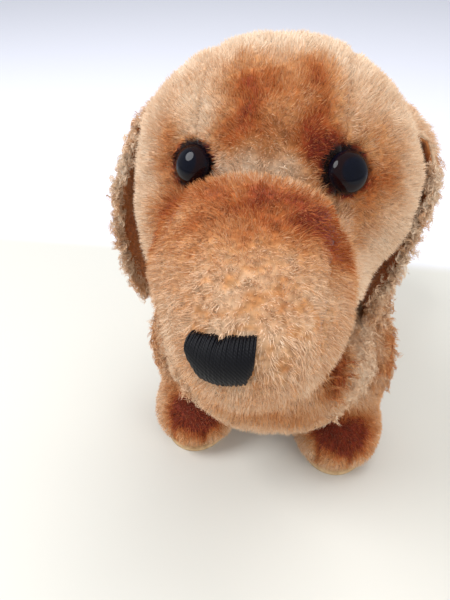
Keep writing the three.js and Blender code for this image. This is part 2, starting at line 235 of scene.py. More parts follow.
def head_field(p, form=HEAD_FORM + EAR_TUCKS):
    """Distance to the cloth of the head."""
    q = p - HEAD
    d = union(p, form, HEAD, HEAD_SOFT) + COVERED * HEAD_PILE
    x, y, z = np.abs(q[:, 0]), q[:, 1], q[:, 2]
    # The seam between the eyes is pulled in, and the muzzle swells up in front of it.
    d += bump((y + DIP) / 2.0) * ramp(z, 4, 12) * (1 - ramp(x, 12, 19))
    d -= 1.7 * bump((y + SWELLING) / 5.5) * ramp(z, 4, 11) * (1 - ramp(x, 11, 17))
    # Eye sockets.
    for at in EYES.values():
        d += 1.5 * bump(np.linalg.norm(p - at, axis=1) / 5.2)
    # The filling is packed a little unevenly, and a groove runs along each seam but not at the eyes.
    d += 0.35 * noise(p, 9.0, 3) + 0.18 * noise(p, 4.0, 5)
    d += 0.35 * bump(head_seams(p) / 0.9) * ramp(eye_distance(p), 4.5, 7)
    return d


def trunk_distance(p):
    return union(p, TORSO_FORM, TORSO, TORSO_SOFT)


def torso_field(p):
    """Distance to the cloth of the trunk."""
    return trunk_distance(p) + COVERED * TORSO_PILE + 0.45 * noise(p, 11.0, 23) + 0.2 * noise(p, 5.0, 25)


TOE_GAP = 4.6  # from the middle of the paw to the grooves between its three toes


def toe_groove(q):
    return np.abs(np.abs(q[:, 0]) - TOE_GAP)


def leg_field(form, at):
    def field(p):
        q = p - at
        d = union(p, form, at, LEG_SOFT) + COVERED * LEG_PILE
        d += 0.9 * bump(toe_groove(q) / 1.1) * ramp(-q[:, 1], 10, 15) * (1 - ramp(q[:, 2], 9, 13))
        return d + 0.3 * noise(p, 8.0, 31)
    return field


TAIL_TURN = Matrix.Rotation(0.5, 3, "X")


def tail_field(p):
    local = (p - TAIL) @ np.array(TAIL_TURN)
    return ellipsoid(local, np.zeros(3), TAIL_RADII) + COVERED * TAIL_PILE + 0.25 * noise(p, 4.0, 61)


# ---------------- airbrushed colour
# One scale from bleached tan to dark red-brown, and then near black round the eyes: (tone, sRGB).
SCALE = [
    (0.00, (241, 224, 203)),
    (0.20, (233, 207, 179)),
    (0.38, (224, 185, 148)),
    (0.55, (210, 152, 98)),
    (0.72, (191, 110, 50)),
    (0.84, (158, 66, 26)),
    (0.92, (118, 34, 16)),
    (0.96, (44, 14, 11)),
    (1.00, (34, 12, 10)),
]
TONES = 12  # how many strand colours there are
BROWNEST = 0.9  # the scale turns black above this
OVERLAP = 0.74  # patches that overlap add up more slowly above this
# Patches: how much browner, how wide, and a path. Three more numbers mottle it: noise amount, size and seed.
BAND = [(-15, -29, 7), (-7, -33.5, 11.5), (1, -34, 12.5), (8, -33.5, 11.5), (15, -33, 7.5)]
HEAD_PATCHES = [
    # The band across the bridge of the muzzle, its darker left end, and its right end running down.
    (0.44, 7.8, BAND, 0.30, 3.2, 9),
    (0.12, 5.0, [(4, -35, 12), (14, -34.5, 8.5)]),
    (0.15, 6.0, [(-17, -25, 4), (-15, -38, 4), (-11, -44, 6)]),
    # Forehead: right, left, between them, and down to the corner of the left eye.
    (0.38, 4.4, [(-4.5, -15, 25.2), (-4, -18, 22), (-6, -21.5, 18)]),
    (0.50, 3.9, [(6.8, -12, 26.2), (8.5, -16.6, 22.6), (9.6, -21, 17)]),
    (0.20, 5.5, [(0, -14, 26), (2, -17, 23.5), (2.5, -20.5, 19.5)]),
    (0.26, 3.4, [(9.2, -20.5, 17.5), (9.8, -23, 14)]),
    # Beside the left eye and the right one.
    (0.34, 4.0, [(20.5, -17.5, 11), (18.8, -16, 17), (19.5, -24, 4)], 0.5, 2.6, 12),
    (0.24, 3.0, [(-19.4, -18.4, 12), (-18, -17, 17)]),
    # A painted highlight: a pale line along the ridge at the top edge of the muzzle, between the eyes.
    (-0.34, 2.3, [(-12, -23.5, 13), (0, -25, 14.6), (11, -23.5, 13.5)]),
]
TORSO_PATCHES = [
    (0.30, 8.0, [(0, -4, 14), (0, 20, 15), (0, 44, 14)]),  # down the back
    (0.14, 5.0, [(-9, -61, -6), (9, -61, -6)]),  # across the chest
    (0.55, 3.4, [(18.5, -54, 10), (19.5, -57, 3)]),  # left of the chest
    (0.30, 5.0, [(27, -30, 6), (27, -30, -4)], 0.6, 3.0, 29),  # left shoulder
]


def mottled(p, base, *layers):
    """A base tone with layers of noise on it, each (amount, size, seed)."""
    for amount, size, seed in layers:
        base = base + amount * noise(p, size, seed)
    return base


def airbrushed(p, q, tone, patches):
    """The tone at points p, whose places from the form's middle are q, with patches added."""
    for brown, radius, path, *mottle in patches:
        patch = brown * along(q, path, radius)
        if mottle:
            patch = patch * mottled(p, 1, mottle)
        tone = tone + patch
    return tone


def worn(q):
    """Where the end of the muzzle is worn, from 0 to 1, for places from the middle of the skull."""
    return ramp(-q[:, 1], 36, 50) * (1 - ramp(-q[:, 0], 6, 14))


def parted(p):
    """Where worn pile parts, from 0 to 1."""
    return ramp(noise(p, 1.1, 14), 0.0, 0.5)


def head_tone(p):
    """How brown the head is at each point, from 0, pale, to 1, dark."""
    q = p - HEAD + 1.1 * noise3(p, 3.0, 40)
    tone = airbrushed(p, q, mottled(p, 0.25, (0.08, 6.0, 7), (0.06, 2.2, 8)), HEAD_PATCHES)
    tone += worn(q) * (0.08 + 0.16 * parted(p))
    tone -= 0.10 * ramp(q[:, 2], 20, 27) * ramp(q[:, 1], -15, -6)
    tone = np.minimum(tone, OVERLAP + 0.45 * (tone - OVERLAP))
    # Dark pile close round each eye.
    tone += 0.9 * bump(np.maximum(eye_distance(p) - 4.1, 0) / 0.65)
    return np.clip(tone, 0, 1)


def torso_tone(p):
    q = p - TORSO
    tone = mottled(p, 0.29, (0.09, 8.0, 27), (0.05, 2.5, 28)) + 0.10 * ramp(-q[:, 1], 50, 58)
    tone = airbrushed(p, q, tone, TORSO_PATCHES) - 0.10 * ramp(-q[:, 2], 8, 20)
    return np.clip(tone, 0, BROWNEST)


def leg_tone(at, dark, spots):
    """Dark is how brown the top of the paw is, and spots are places of brown spots, from its middle."""
    patches = [
        (dark, 5.4, [(-2, -12, 15.5), (2, -14, 15), (6, -12, 15)]),
        (0.30 * dark, 6.0, [(-5, -6, 16), (9, -6, 16)]),
        *[(0.42, 3.2, [spot]) for spot in spots],
    ]

    def tone(p):
        q = p - at + 0.9 * noise3(p, 3.0, 50)
        t = airbrushed(p, q, mottled(p, 0.37, (0.08, 7.0, 33), (0.05, 2.5, 34)), patches)
        # Painted shade in the grooves between the toes.
        t += 0.30 * bump(toe_groove(q) / 1.2) * ramp(-q[:, 1], 11, 15)
        return np.clip(t, 0, BROWNEST)
    return tone


def tail_tone(p):
    return np.clip(mottled(p, 0.34, (0.1, 4.0, 63)), 0, 1)


def ear_tone(p):
    tone = mottled(p, 0.27, (0.15, 4.0, 71), (0.06, 2.0, 72)) + 0.16 * ramp(-p[:, 2], -75, -58)
    return np.clip(tone, 0, BROWNEST)


# The ear's lining is coloured dark red-brown: painted shade for the shadowed gap between the ear and the head.
def painted_shade_lining_tone(p):
    return np.clip(mottled(p, 0.66, (0.08, 5.0, 75)), 0, 1)


def linear(rgb):
    c = np.array(rgb, float) / 255
    return np.where(c <= 0.04045, c / 12.92, ((c + 0.055) / 1.055) ** 2.4)


def colour_at(tone):
    """Linear colour for each tone."""
    stops = [s for s, _ in SCALE]
    table = np.array([linear(c) for _, c in SCALE])
    return np.stack([np.interp(tone, stops, table[:, i]) for i in range(3)], 1)


# ---------------- materials
def material(name):
    m = bpy.data.materials.new(name)
    m.use_nodes = True
    nt = m.node_tree
    return m, nt, nt.nodes["Principled BSDF"]


def set_inputs(node, values):
    for name, value in values.items():
        node.inputs[name].default_value = value


def add(nt, kind, values=None):
    node = nt.nodes.new(f"ShaderNode{kind}")
    set_inputs(node, values or {})
    return node


def link(nt, a, out, b, socket):
    nt.links.new(a.outputs[out], b.inputs[socket])


def pattern(nt, kind, values, stretch=(1, 1, 1)):
    """A texture node in the object's own coordinates."""
    where = add(nt, "TexCoord")
    turn = add(nt, "Mapping", {"Scale": stretch})
    texture = add(nt, kind, values)
    link(nt, where, "Object", turn, "Vector")
    link(nt, turn, "Vector", texture, "Vector")
    return texture


def painted(nt, shader, shade, out, factor):
    """Makes the base colour the one that paint() stores with the mesh, times a shade."""
    stored = add(nt, "Attribute")
    stored.attribute_name = "pile_colour"
    mix = add(nt, "Mix", {"Factor": factor})
    mix.data_type = "RGBA"
    mix.blend_type = "MULTIPLY"
    link(nt, stored, "Color", mix, 6)
    link(nt, shade, out, mix, 7)
    link(nt, mix, 2, shader, "Base Color")


def two_tone(nt, shader, source, out, low, high, positions=(0, 1)):
    """Makes the base colour run between two linear colours."""
    scale = add(nt, "ValToRGB")
    for stop, colour, position in zip(scale.color_ramp.elements, (low, high), positions):
        stop.color = (*colour, 1)
        stop.position = position
    link(nt, source, out, scale, "Fac")
    link(nt, scale, "Color", shader, "Base Color")


def relief(nt, shader, source, strength, distance):
    rough = add(nt, "Bump", {"Strength": strength, "Distance": distance})
    link(nt, source, "Fac", rough, "Height")
    link(nt, rough, "Normal", shader, "Normal")


def strand_material(index):
    m, _, shader = material(f"mohair_strand_{index}")
    colour = colour_at(np.array([(index + 0.5) / TONES]))[0]
    set_inputs(shader, {"Base Color": (*colour, 1), "Roughness": 0.62, "Specular IOR Level": 0.25,
                        "Sheen Weight": 0.25, "Sheen Roughness": 0.5, "Sheen Tint": (1.0, 0.86, 0.68, 1)})
    return m


def cloth_material():
    """The woven backing and dense foot of the pile."""
    m, nt, shader = material("mohair_cloth")
    tuft = pattern(nt, "TexNoise", {"Scale": 900, "Detail": 3})
    shade = add(nt, "MapRange", {"From Min": 0.3, "From Max": 0.7, "To Min": 0.55, "To Max": 1.0})
    link(nt, tuft, "Fac", shade, "Value")
    painted(nt, shader, shade, "Result", 1)
    relief(nt, shader, tuft, 0.5, 0.0006)
    set_inputs(shader, {"Roughness": 0.95, "Sheen Weight": 0.2, "Sheen Roughness": 0.5})
    return m


def speckled(name, light, dark, scale, roughness, depth=0.0002, metallic=0.0, stretch=(1, 1, 1)):
    """A plain procedural finish: noise between two colours, with a little relief."""
    m, nt, shader = material(name)
    grain = pattern(nt, "TexNoise", {"Scale": scale, "Detail": 4}, stretch)
    two_tone(nt, shader, grain, "Fac", linear(dark), linear(light), (0.32, 0.68))
    relief(nt, shader, grain, 0.6, depth)
    set_inputs(shader, {"Roughness": roughness, "Metallic": metallic})
    return m


def eye_material():
    """Dark amber glass over a black back; its stored colour holds a painted bluish reflection."""
    m, nt, shader = material("amber_glass_eye")
    streak = pattern(nt, "TexNoise", {"Scale": 1500})
    painted(nt, shader, streak, "Fac", 0.6)
    set_inputs(shader, {"Roughness": 0.05, "IOR": 1.5, "Specular IOR Level": 0.17})
    return m


def thread_material():
    m, nt, shader = material("black_satin_thread")
    ply = pattern(nt, "TexWave", {"Scale": 900, "Distortion": 1.0})
    ply.bands_direction = "DIAGONAL"
    # Two blue-black tones along the ply: the ply is the thread's own, the blue tint is a painted sheen.
    two_tone(nt, shader, ply, "Fac", (0.0018, 0.0018, 0.0026), (0.0045, 0.0045, 0.0075))
    relief(nt, shader, ply, 0.4, 0.0001)
    set_inputs(shader, {"Roughness": 0.46, "Specular IOR Level": 0.22})
    return m


def ground_material(edge, blend):
    """A cream surface that fades to bluish white beyond an edge behind the dog."""
    m, nt, shader = material("pale_ground")
    where = add(nt, "TexCoord")
    distance = add(nt, "VectorMath")
    distance.operation = "DOT_PRODUCT"
    distance.inputs[1].default_value = (-0.063, 1, 0)
    fade = add(nt, "MapRange", {"From Min": edge - blend, "From Max": edge + blend})
    fade.interpolation_type = "SMOOTHSTEP"
    link(nt, where, "Object", distance, 0)
    link(nt, distance, "Value", fade, "Value")
    two_tone(nt, shader, fade, "Result", linear((218, 216, 208)), linear((240, 241, 251)))
    set_inputs(shader, {"Roughness": 0.7})
    return m


STRANDS = [strand_material(i) for i in range(TONES)]
CLOTH = cloth_material()
GLASS = eye_material()
FELT = speckled("wool_felt", (214, 184, 142), (188, 154, 112), 700, 0.95, 0.0003)
BOARD = speckled("fibreboard", (142, 108, 76), (104, 76, 50), 600, 0.85)
STEEL = speckled("steel_wire", (176, 176, 178), (126, 126, 130), 900, 0.35, 0.00003, metallic=1.0)
PAINT = speckled("black_paint", (22, 22, 24), (12, 12, 13), 800, 0.4, 0.00003)
FILLING = speckled("wood_wool", (226, 203, 152), (176, 142, 92), 420, 0.9, 0.0006, stretch=(1, 1, 0.25))


# ---------------- meshes from fields
def placed(name, data):
    """A new object in the scene."""
    ob = bpy.data.objects.new(name, data)
    bpy.context.collection.objects.link(ob)
    return ob


def gradient(field, p, step=0.06):
    g = np.empty_like(p)
    for axis in range(3):
        d = np.zeros(3)
        d[axis] = step
        g[:, axis] = (field(p + d) - field(p - d)) / (2 * step)
    return g


def onto(field, p, rounds=4):
    """Moves points to where the field is zero."""
    for _ in range(rounds):
        g = gradient(field, p)
        p = p - (field(p) / np.maximum((g * g).sum(1), 0.2))[:, None] * g
    return p


def remeshed(parts, voxel, turn=Matrix()):
    """One even quad mesh round overlapping ellipsoids, in millimetres."""
    bm = bmesh.new()
    for middle, radii in parts:
        place = Matrix.Translation(Vector(middle)) @ Matrix.Diagonal((*radii, 1))
        bmesh.ops.create_icosphere(bm, subdivisions=4, radius=1, matrix=turn @ place)
    me = bpy.data.meshes.new("rough")
    bm.to_mesh(me)
    bm.free()
    ob = placed("rough", me)
    mod = ob.modifiers.new("voxel", "REMESH")
    mod.mode = "VOXEL"
    mod.voxel_size = voxel
    got = bpy.data.meshes.new_from_object(ob.evaluated_get(bpy.context.evaluated_depsgraph_get()))
    bpy.data.objects.remove(ob)
    v = np.empty(len(got.vertices) * 3)
    got.vertices.foreach_get("co", v)
    return v.reshape(-1, 3), [tuple(f.vertices) for f in got.polygons if len(f.vertices) == 4]


def vertex_normals(v, faces):
    f = np.array(faces)
    n = np.zeros_like(v)
    a, b, c, d = (v[f[:, i]] for i in range(4))
    fn = np.cross(c - a, d - b)
    for i in range(4):
        np.add.at(n, f[:, i], fn)
    return unit(n)


def relaxed(v, faces, rounds):
    f = np.array(faces)
    for _ in range(rounds):
        total = np.zeros_like(v)
        count = np.zeros(len(v))
        for i in range(4):
            a, b = f[:, i], f[:, (i + 1) % 4]
            np.add.at(total, a, v[b])
            np.add.at(total, b, v[a])
            np.add.at(count, a, 1)
            np.add.at(count, b, 1)
        v = 0.5 * v + 0.5 * total / np.maximum(count, 1)[:, None]
    return v


def surface(form, at, field, voxel):
    """A form's even quad mesh, moved onto its field."""
    parts = [(tuple(np.array(middle, float) + at), radii) for middle, radii in form]
    v, faces = remeshed(parts, voxel)
    v = onto(field, relaxed(v, faces, 3))
    v = onto(field, relaxed(v, faces, 1), 2)
    return v, faces


def face_middles(v, faces):
    return v[np.array(faces)].mean(1)


def subset(v, faces, keep):
    """The chosen faces with their own numbering."""
    f = np.array(faces)[keep]
    used, index = np.unique(f, return_inverse=True)
    return v[used], [tuple(r) for r in index.reshape(-1, 4)]


def new_object(name, v, faces, m):
    me = bpy.data.meshes.new(name)
    me.from_pydata([tuple(p) for p in v * MM], [], faces)
    me.materials.append(m)
    ob = placed(name, me)
    me.polygons.foreach_set("use_smooth", [True] * len(me.polygons))
    me.update()
    return ob


def paint(ob, colours):
    """Stores a colour for each vertex."""
    layer = ob.data.color_attributes.new("pile_colour", "FLOAT_COLOR", "POINT")
    rgba = np.ones((len(ob.data.vertices), 4))
    rgba[:, :3] = colours
    layer.data.foreach_set("color", rgba.ravel())


def thicken(ob, thick, offset):
    solid = ob.modifiers.new("thickness", "SOLIDIFY")
    solid.thickness = thick * MM
    solid.offset = offset
    solid.use_rim = True


def panel(name, v, faces, keep, tone, body, node):
    """One sewn cloth panel with thickness, a little browner than the pile on it."""
    pv, pf = subset(v, faces, keep)
    ob = new_object(name, pv, pf, CLOTH)
    own = tone(pv)
    paint(ob, colour_at(np.clip(own + 0.10, 0, np.maximum(own, BROWNEST))))
    thicken(ob, CLOTH_THICK, -1)
    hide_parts(node)
    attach(ob, body)


def stuffing(name, form, at, field, inside, node, body):
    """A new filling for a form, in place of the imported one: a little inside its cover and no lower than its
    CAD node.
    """
    v, f = surface(form, at, lambda p: field(p) + inside, 2.5)
    v[:, 2] = np.maximum(v[:, 2], box_mm(node)[0][2])
    ob = new_object(name, v, f, FILLING)
    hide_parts(node)
    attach(ob, body)


def aimed(at, direction):
    """A transform to a place, with its Z axis along a direction."""
    return Matrix.Translation(at) @ direction.to_track_quat("Z", "Y").to_matrix().to_4x4()


def lathe(name, profile, segments, place, m, body):
    """Turns (radius, height) points about Z, closing on the axis."""
    v, f, rings = [], [], []
    for r, z in profile:
        count = segments if r else 1
        rings.append([len(v) + k for k in range(count)])
        v += [(r * math.cos(2 * math.pi * k / segments), r * math.sin(2 * math.pi * k / segments), z)
              for k in range(count)]
    for a, b in zip(rings[:-1], rings[1:]):
        for k in range(segments):
            j = (k + 1) % segments
            if len(a) == 1:
                f.append((a[0], b[k], b[j]))
            elif len(b) == 1:
                f.append((a[k], b[0], a[j]))
            else:
                f.append((a[k], b[k], b[j], a[j]))
    ob = new_object(name, np.array([tuple(place @ Vector(p)) for p in v]), f, m)
    bm = bmesh.new()
    bm.from_mesh(ob.data)
    bmesh.ops.recalc_face_normals(bm, faces=bm.faces)
    bm.to_mesh(ob.data)
    bm.free()
    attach(ob, body)
    return ob


# ---------------- pile
def scatter(v, faces, per_mm2, weight=None, seed=0):
    """Points spread evenly over quads: positions, normals."""
    local = np.random.default_rng(seed)
    f = np.array(faces)
    n = vertex_normals(v, faces)
    tri = np.concatenate([f[:, [0, 1, 2]], f[:, [0, 2, 3]]])
    a, b, c = (v[tri[:, i]] for i in range(3))
    area = np.linalg.norm(np.cross(b - a, c - a), axis=1) / 2
    if weight is not None:
        area = area * weight((a + b + c) / 3)
    count = int(area.sum() * per_mm2 * DENSITY)
    pick = np.searchsorted(np.cumsum(area), local.random(count) * area.sum())
    pick = np.minimum(pick, len(tri) - 1)
    r1, r2 = np.sqrt(local.random(count)), local.random(count)
    w = np.stack([1 - r1, r1 * (1 - r2), r1 * r2], 1)
    t = tri[pick]
    p = sum(v[t[:, i]] * w[:, i : i + 1] for i in range(3))
    m = sum(n[t[:, i]] * w[:, i : i + 1] for i in range(3))
    return p, unit(m)


def across(nap, n):
    """The part of the nap that lies in the surface."""
    return nap - (nap * n).sum(1)[:, None] * n


def strand_piece(name, paths, width, tone, body, seed):
    """Flat tapering strands. paths is (count, points, 3); width is each strand's widest, in millimetres."""
    local = np.random.default_rng(seed)
    count, steps = paths.shape[:2]
    heading = unit(paths[:, -1] - paths[:, 0])
    side = unit(np.cross(heading, unit(local.normal(size=(count, 3)))))
    taper = np.linspace(1, 0.55 if steps > 3 else 0.8, steps - 1)
    half = width[:, None] / 2 * taper[None, :]
    left = paths[:, :-1] - side[:, None] * half[:, :, None]
    right = paths[:, :-1] + side[:, None] * half[:, :, None]
    per = 2 * (steps - 1) + 1
    v = np.empty((count, per, 3))
    v[:, 0:-1:2], v[:, 1:-1:2], v[:, -1] = left, right, paths[:, -1]
    start = np.arange(count)[:, None] * per
    rungs = 2 * np.arange(steps - 2)[:, None] + np.array([0, 1, 3, 2])
    quads = (start[:, :, None] + rungs[None]).reshape(-1, 4)
    tips = (start + np.array([[per - 3, per - 2, per - 1]])).reshape(-1, 3)
    me = bpy.data.meshes.new(name)
    me.vertices.add(v.size // 3)
    me.vertices.foreach_set("co", v.ravel() * MM)
    loops = np.concatenate([quads.ravel(), tips.ravel()])
    sizes = np.concatenate([np.full(len(quads), 4), np.full(len(tips), 3)])
    me.loops.add(len(loops))
    me.loops.foreach_set("vertex_index", loops)
    me.polygons.add(len(sizes))
    me.polygons.foreach_set("loop_start", np.concatenate([[0], np.cumsum(sizes)[:-1]]))
    for m in STRANDS:
        me.materials.append(m)
    # Tips are a little browner than roots.
    steps_up = np.linspace(-0.06, 0.03, steps - 1)
    shade = tone[:, None] + local.normal(0, 0.045, (count, 1)) + steps_up[None, :]
    shade = np.minimum(shade, np.maximum(tone, BROWNEST)[:, None])
    slots = np.clip((shade * TONES).astype(int), 0, TONES - 1)
    me.polygons.foreach_set("material_index", np.concatenate([slots[:, :-1].ravel(), slots[:, -1]]))
    me.polygons.foreach_set("use_smooth", np.ones(len(sizes), bool))
    me.update()
    me.validate()
    ob = placed(name, me)
    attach(ob, body)
    return ob


def short_pile(name, v, faces, keep, tone, body, comb, length=1.9, per_mm2=8.5, seams=None, seed=0,
               slot="short_mohair", skip=None, width=0.135):
    """Dense short mohair: nearly upright tufts that lean with the nap, shorter at seams and eyes."""
    local = np.random.default_rng(seed + 1000)
    pv, pf = subset(v, faces, keep)
    p, n = scatter(pv, pf, per_mm2, seed=seed)
    if skip is not None:
        ok = ~skip(p, local.random(len(p)))
        p, n = p[ok], n[ok]
    size = length * (0.85 + 0.30 * local.random(len(p))) * (1 + 0.16 * noise(p, 3.0, seed + 3))
    if seams is not None:
        size *= (0.72 + 0.28 * ramp(seams(p), 0.2, 1.8)) * (0.55 + 0.45 * ramp(eye_distance(p), 3.3, 5.6))
    nap = across(comb(p), n)
    lean = n + 0.55 * nap + 0.42 * noise3(p, 2.6, seed + 5) + 0.30 * noise3(p, 1.1, seed + 9)
    lean = unit(lean + 0.16 * local.normal(size=(len(p), 3)))
    droop = unit(lean + 0.5 * nap + 0.35 * noise3(p, 1.6, seed + 13))
    root = p - 0.25 * n
    middle = root + lean * (size * 0.55)[:, None]
    tip = middle + droop * (size * 0.45)[:, None]
    widths = width * (0.8 + 0.5 * local.random(len(p)))
    return strand_piece(name, np.stack([root, middle, tip], 1), widths, tone(p), body, seed)


def cover(stem, v, faces, keep, tone, body, node, slot, comb, **pile):
    """A cloth panel and the short pile on it."""
    panel(f"{stem}_cloth", v, faces, keep, tone, body, node)
    short_pile(f"{stem}_pile", v, faces, keep, tone, body, comb, slot=slot, **pile)


LOCK_STEPS = 8  # points along each strand of a lock
LOCK_SPREAD = 0.9  # how far a lock's strands start from each other


def curls(name, p, n, tone, body, comb, length, radius, seed, strands=9, turns=1.3, width=0.2, lift=0.5):
    """Locks of long curly mohair: bundles of strands that wind the same way."""
    local = np.random.default_rng(seed + 2000)
    locks = len(p)
    nap = unit(across(comb(p), n))
    axis = unit(nap + lift * n + 0.35 * noise3(p, 4.0, seed + 5) + 0.2 * local.normal(size=(locks, 3)))
    u = unit(np.cross(axis, n))
    w = np.cross(u, axis)
    phase = local.random(locks) * 2 * math.pi
    hand = np.where(local.random(locks) < 0.5, -1.0, 1.0)[:, None]
    size = length * (0.75 + 0.5 * local.random(locks))
    rad = radius * (0.7 + 0.6 * local.random(locks))
    t = np.linspace(0, 1, LOCK_STEPS)
    paths = []
    for _ in range(strands):
        offset = across(local.normal(size=(locks, 3)) * LOCK_SPREAD / 2, n)
        own_phase = (phase + local.normal(0, 0.35, locks))[:, None]
        own_rad = (rad * (0.75 + 0.5 * local.random(locks)))[:, None]
        own_size = (size * (0.8 + 0.3 * local.random(locks)))[:, None]
        angle = own_phase + hand * t * turns * 2 * math.pi
        grow = own_rad * np.minimum(1, 0.25 + t * 2.2) * (1 - 0.35 * t)
        sideways = np.cos(angle) * grow - np.cos(own_phase) * 0.25 * own_rad
        upwards = np.sin(angle) * grow - np.sin(own_phase) * 0.25 * own_rad + 0.35 * own_rad * t
        path = (p + offset - 0.3 * n)[:, None] + axis[:, None] * (own_size * t * 0.8)[:, :, None]
        # The strands of a lock gather towards its tip.
        path = path - offset[:, None] * (t ** 1.2 * 0.55)[:, None]
        paths.append(path + u[:, None] * sideways[:, :, None] + w[:, None] * upwards[:, :, None])
    paths = np.concatenate(paths)
    shade = np.tile(tone(p) + 0.05 * local.normal(size=locks), strands)
    widths = width * (0.75 + 0.5 * local.random(len(paths)))
    return strand_piece(name, paths, widths, shade, body, seed)


# ---------------- head
def nose_edges(x):
    """Top and bottom of the nose's outline at x, from its middle: a shield with a small notch."""
    s = np.abs(x) / 5.1
    tilt = 0.20 * x + 0.4
    top = 2.9 + 0.5 * bump(s / 0.55) - 0.6 * bump(s / 0.13) - 0.4 * ramp(s, 0.88, 1.02) + tilt
    low = -4.1 + 0.2 * s + 2.6 * ramp(s, np.where(x < 0, 0.45, 0.74), 1.02) + tilt
    return top, low


def off_face(p, chance):
    """Where no pile grows: under the eyes and the nose, and in the partings of the worn muzzle."""
    q = p - NOSE
    top, low = nose_edges(q[:, 0])
    in_nose = (np.abs(q[:, 1]) < 8) & (np.abs(q[:, 0]) < 4.9) & (q[:, 2] > low) & (q[:, 2] < top + 0.35)
    return (eye_distance(p) < 3.45) | in_nose | (chance < 0.8 * worn(p - HEAD) * parted(p))


def head_comb(p):
    """The nap runs back from the nose over the crown, and down the cheeks."""
    q = p - HEAD
    back = np.zeros_like(q)
    back[:, 1] = 0.8 + 0.4 * ramp(q[:, 1], -20, 10)
    back[:, 2] = -0.8 * ramp(q[:, 1], -5, 20) - 0.5 * ramp(-q[:, 2], -10, 10)
    front = ramp(-q[:, 1], 24, 30)
    out = np.stack([q[:, 0] * 0.03, np.full(len(q), -0.4), q[:, 2] * 0.02 - 0.25], 1)
    return back * (1 - front)[:, None] + out * front[:, None]


def build_head():
    v, f = surface(HEAD_FORM + EAR_TUCKS, HEAD, head_field, 1.15)
    middles = face_middles(v, f)
    x, y, z = np.abs(middles[:, 0]), middles[:, 1], middles[:, 2]
    left, above = middles[:, 0] > 0, z > NECK_Z
    crown = (x < GUSSET_HALF) & (y > STOP_Y) & (z > HEAD[2])
    muzzle = (x < MUZZLE_HALF) & (y < STOP_Y) & (z > JAW_Z)
    chin = (x < CHIN_HALF) & (z < JAW_Z) & (y < CHIN_BACK)
    face = ~(crown | muzzle | chin)
    panels = [
        ("crown", crown, "head_crown_gusset"),
        ("muzzle", muzzle, "muzzle_panel"),
        ("chin", chin, "chin_panel"),
        ("left_face", face & left, "head_side_left_panel"),
        ("right_face", face & ~left, "head_side_right_panel"),
    ]
    for i, (stem, where, node) in enumerate(panels):
        cover(stem, v, f, where & above, head_tone, "head", node, "short_mohair", head_comb,
              length=HEAD_PILE, seams=head_seams, seed=100 + i * 20, skip=off_face)
    # The filling doesn't reach into the tucks.
    stuffing("head_stuffing", HEAD_FORM, HEAD, lambda p: head_field(p, HEAD_FORM), 3.4,
             "head_filling", "head")


build_head()


# ---------------- eyes
EYE_R, DOME, PUPIL_R, SEGMENTS = 3.75, 2.6, 2.7, 56
# Profiles, as (radius, height): the rim of the glass dome, and the black paint on its flat back.
RIM = [(0, -0.6), (EYE_R * 0.9, -0.6), (EYE_R * 0.99, -0.35)]
PUPIL = [(0, -0.75), (PUPIL_R, -0.75), (PUPIL_R + 0.05, -0.7), (PUPIL_R, -0.62), (0, -0.62)]
# The black of the eye is tinted blue: a painted reflection of the bluish light.
EYE_BLACK_BLUE_REFLECTION, EYE_RED = (0.003, 0.004, 0.011), (0.011, 0.003, 0.004)  # linear


def build_eye(side, sign):
    facing = Vector((13.8 * sign, -21.4, 14)).normalized()
    place = aimed(Vector(EYES[side]) + facing * 0.3, facing)
    arc = [(EYE_R * math.cos(a), DOME * math.sin(a)) for a in np.linspace(0, math.pi / 2, 16)]
    arc[-1] = (0, DOME)
    dome = lathe(f"{side}_eye_glass", RIM + arc, SEGMENTS, place, GLASS, "head")
    # Black in the middle, tinted blue as a painted reflection, with a thin dark red ring near the rim.
    away = np.array([np.linalg.norm((v.co / MM - place.translation).cross(facing))
                     for v in dome.data.vertices])
    ring = ramp(away, 2.1, 2.5) * (1 - ramp(away, 3.3, 3.7))
    paint(dome, np.outer(1 - ring, EYE_BLACK_BLUE_REFLECTION) + np.outer(ring, EYE_RED))
    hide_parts(f"eye_{side}_glass")
    pupil = lathe(f"{side}_eye_pupil", PUPIL, SEGMENTS, place, PAINT, "head")
    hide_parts(f"eye_{side}_pupil")


for side, sign in SIDES:
    build_eye(side, sign)


# ---------------- nose: upright satin stitches
STITCHES, STITCH_SIDES, STITCH_STEPS = 56, 8, 20
THREAD_R = 0.2
NOSE_HALF = 4.75


def march(start):
    """Where lines along +Y from the starting points first meet the head."""
    y = start[:, 1].copy()
    for _ in range(60):
        p = start.copy()
        p[:, 1] = y
        y = y + np.clip(head_field(p), -1, 1) * 0.8
    return y


def stitch_line(k, x):
    """The line of stitch k down the nose at x, and the head's outward direction along it."""
    top, low = (float(e[0]) for e in nose_edges(np.array([x])))
    top += 0.18 * math.sin(k * 2.3)
    low += 0.22 * math.sin(k * 1.7 + 1)
    line = np.empty((STITCH_STEPS, 3))
    line[:, 0] = NOSE[0] + x
    line[:, 1] = nose_low[1] - 2
    line[:, 2] = NOSE[2] + np.linspace(top, low, STITCH_STEPS)
    line[:, 1] = march(line)
    outward = unit(gradient(head_field, line))
    # It dives into the cloth at both ends.
    arch = np.sin(np.linspace(0.0, math.pi, STITCH_STEPS)) ** 0.35
    swell = 1.0 - 0.25 * (x / 5) ** 2
    return line + outward * (swell * (0.1 + 1.75 * arch) - 1.0 * (1 - arch))[:, None], outward


